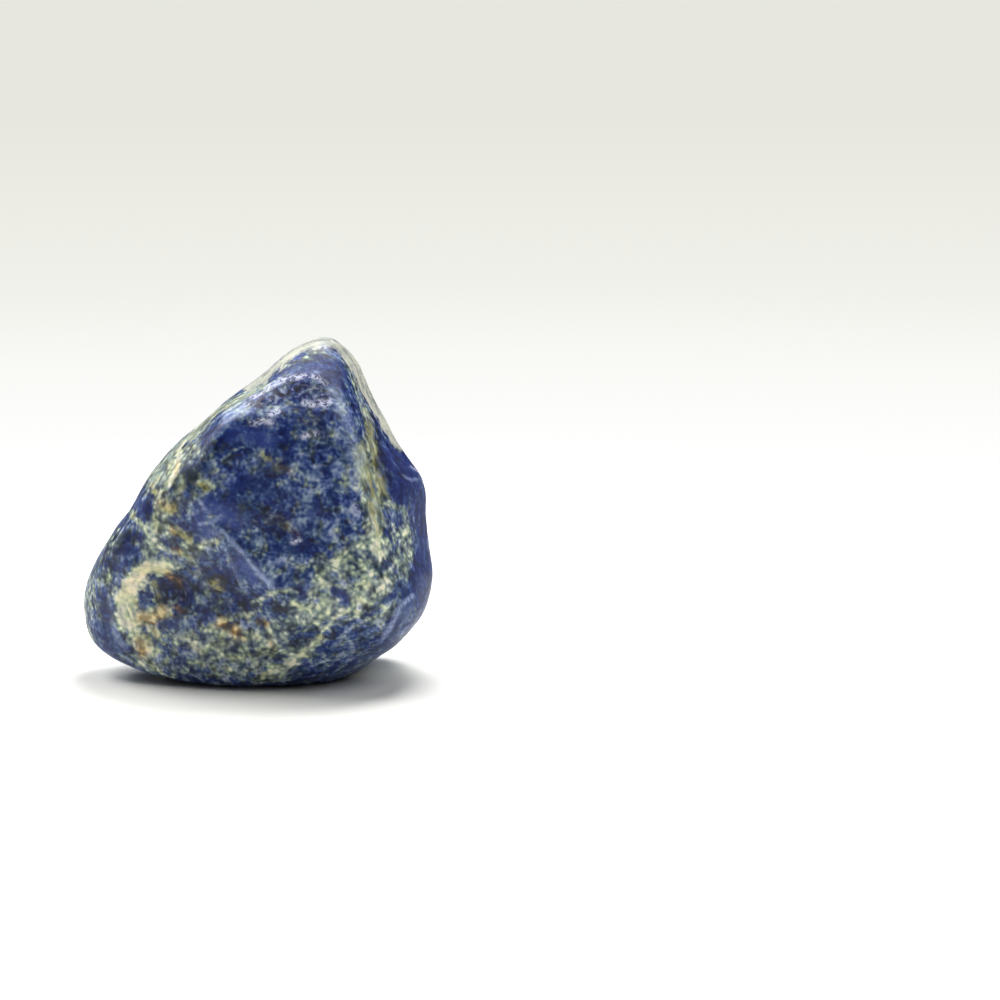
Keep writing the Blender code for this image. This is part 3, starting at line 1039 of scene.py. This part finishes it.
def roughness(paint, rock):
    """A satin polish, duller in the hollows, on the chips and on the cream mineral."""
    creamy = paint.rise(rock.tone, -0.3, 0.8) * rock.warmth
    worn = paint.amount("dull") * 0.30 + paint.amount("chipped") * 0.14
    return worn + creamy * 0.08 + rock.clouds * 0.02 + POLISHED


def relief(paint, rock):
    """The fine relief of grains and fibres under the polish."""
    height = rock.grains * 0.12 + paint.waves(rock.bent, "polish") + rock.fibres * 0.1
    sockets = {"Strength": RELIEF_STRENGTH, "Distance": RELIEF_HEIGHT * MM, "Height": height}
    return paint.node("ShaderNodeBump", sockets=sockets)


def sodalite():
    """Blue rock with cream grains and rust stains, painted sheen, glints, rims and shade, under a satin
    tumbled polish.
    """
    paint = Paint(bpy.data.materials.new("tumbled sodalite"))
    rock = Rock(paint)
    colour = rock_colour(paint, rock)
    for marking in (with_crack, with_stains, with_pale_and_rim_sheen, with_chips, with_specks):
        colour = marking(paint, rock, colour)
    shader = paint.tree.nodes["Principled BSDF"]
    paint.fill(shader.inputs["Base Color"], colour)
    paint.fill(shader.inputs["Roughness"], roughness(paint, rock))
    paint.fill(shader.inputs["Normal"], relief(paint, rock))
    paint.fill(shader.inputs["IOR"], SHEEN)
    return paint.holder


# The floor is a white disc. It fades into the white round it between these distances, in metres like its
# radius.
FLOOR_WHITE = srgb(238, 238, 234)
FLOOR_ROUGHNESS = 0.6
FLOOR_RADIUS = 0.6
FADE_START = 0.15
FADE_END = 0.32


def add_floor():
    """A floor for the stone's shadow."""
    bpy.ops.object.select_all(action="DESELECT")
    bpy.ops.mesh.primitive_circle_add(vertices=96, radius=FLOOR_RADIUS, fill_type="NGON")
    floor = bpy.context.object
    floor.name = "floor"
    paint = Paint(bpy.data.materials.new("white floor"))
    shader = paint.tree.nodes["Principled BSDF"]
    place = paint.node("ShaderNodeTexCoord", output="Object")
    away = paint.node("ShaderNodeVectorMath", {"operation": "LENGTH"}, {0: place}, "Value")
    paint.fill(shader.inputs["Base Color"], FLOOR_WHITE)
    paint.fill(shader.inputs["Roughness"], FLOOR_ROUGHNESS)
    paint.fill(shader.inputs["Alpha"], paint.rise(away, FADE_START, FADE_END, 1.0, 0.0))
    floor.data.materials.append(paint.holder)


# The room is lit in fields. Each has the azimuth and elevation of its middle, the angles from there between
# which it ends, all in degrees, and the light in it and round it. The open front, where the camera stands,
# is dark among white walls. The back dims the walls, so that they hardly shine on the stone's rims.
OPEN_FRONT = (0.0, 15.0, (60.0, 115.0), 0.05, 0.35)
DIM_BACK = (160.0, 5.0, (48.0, 80.0), 0.10, 1.00)
CEILING = (0.0, 90.0, (28.0, 62.0), 0.10, 0.00)
ABOVE_THE_FLOOR = (0.0, 90.0, (91.0, 96.0), 0.00, 1.00)
WALL_WHITE = (1.0, 1.0, 0.985, 1.0)

# What the camera sees behind the stone: colours by how steeply it looks up, as a sine.
BACKDROP = (
    (-0.115, (255, 255, 254)),
    (-0.080, (249, 250, 246)),
    (-0.050, (241, 241, 235)),
    (0.020, (231, 231, 223)),
)


def direction(azimuth, elevation):
    """The way that an azimuth, 0 towards the camera and 90 to the right, and an elevation point."""
    turn = math.radians(azimuth)
    tilt = math.radians(elevation)
    return (math.sin(turn) * math.cos(tilt), -math.cos(turn) * math.cos(tilt), math.sin(tilt))


def light_from(paint, towards, field):
    """The light of one field in each direction towards the room."""
    azimuth, elevation, edge, light_inside, light_outside = field
    sides = {0: towards, 1: direction(azimuth, elevation)}
    facing = paint.node("ShaderNodeVectorMath", {"operation": "DOT_PRODUCT"}, sides, "Value")
    near, far = (math.cos(math.radians(angle)) for angle in edge)
    return paint.rise(facing, far, near, light_outside, light_inside)


def light_the_room():
    """White walls to light the stone, and a plain pale background that grows a little darker upwards."""
    world = bpy.data.worlds.new("white studio")
    bpy.context.scene.world = world
    paint = Paint(world)
    towards = paint.node("ShaderNodeTexCoord", output="Generated")
    walls = light_from(paint, towards, OPEN_FRONT) * light_from(paint, towards, DIM_BACK)
    light = walls + light_from(paint, towards, CEILING) + light_from(paint, towards, ABOVE_THE_FLOOR)
    room = paint.node("ShaderNodeBackground", sockets={"Color": WALL_WHITE, "Strength": light})
    height = paint.node("ShaderNodeSeparateXYZ", sockets={"Vector": towards}, output="Z")
    stops = [(rise + 0.5, srgb(*colour)) for rise, colour in BACKDROP]
    backdrop = paint.node("ShaderNodeBackground", sockets={"Color": paint.ramp(height + 0.5, stops)})
    camera_sees = paint.node("ShaderNodeLightPath", output="Is Camera Ray")
    both = paint.node("ShaderNodeMixShader", sockets={0: camera_sees, 1: room, 2: backdrop})
    paint.fill(paint.tree.nodes["World Output"].inputs["Surface"], both)


# The soft boxes over the stone and at both sides of it. Each has its azimuth and elevation in degrees, its
# size in metres and its power. All are this far away.
SOFT_BOXES = {
    "top soft box": (162.0, 66.0, 0.22, 2.3),
    "left soft box": (-112.0, 52.0, 0.26, 1.9),
    "right soft box": (78.0, 48.0, 0.26, 0.7),
}
BOX_DISTANCE = 0.45


def hang_soft_boxes():
    """Hangs the soft boxes so that each shines on the middle of the floor."""
    for name, (azimuth, elevation, size, power) in SOFT_BOXES.items():
        place = Vector(direction(azimuth, elevation)) * BOX_DISTANCE
        bpy.ops.object.light_add(type="AREA", location=place)
        lamp = bpy.context.object
        lamp.name = name
        lamp.data.size = size
        lamp.data.energy = power
        lamp.rotation_euler = (-place).to_track_quat("-Z", "Y").to_euler()


def add_camera():
    """The photograph's own camera: its place, its angle and its narrow lens."""
    bpy.ops.object.camera_add(location=CAMERA_PLACE)
    camera = bpy.context.object
    camera.name = "photograph camera"
    camera.data.lens = LENS
    camera.data.sensor_width = SENSOR
    camera.data.clip_start = 0.01
    turn = Matrix((ACROSS, UPWARDS, -LOOK)).transposed()
    camera.rotation_euler = turn.to_euler()
    bpy.context.scene.camera = camera


def add_stone():
    """Makes the stone, wears it, paints it and says what it stands for in the frame."""
    stone = fine_stone()
    amounts = mineral_amounts(stone)
    work_the_surface(stone, amounts)
    select_only(stone)
    bpy.ops.object.shade_smooth()
    stone.data.materials.clear()
    stone.data.materials.append(sodalite())
    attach(stone, "root")
    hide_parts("stone")


bpy.context.scene.view_settings.view_transform = "Standard"
add_camera()
light_the_room()
hang_soft_boxes()
add_floor()
add_stone()
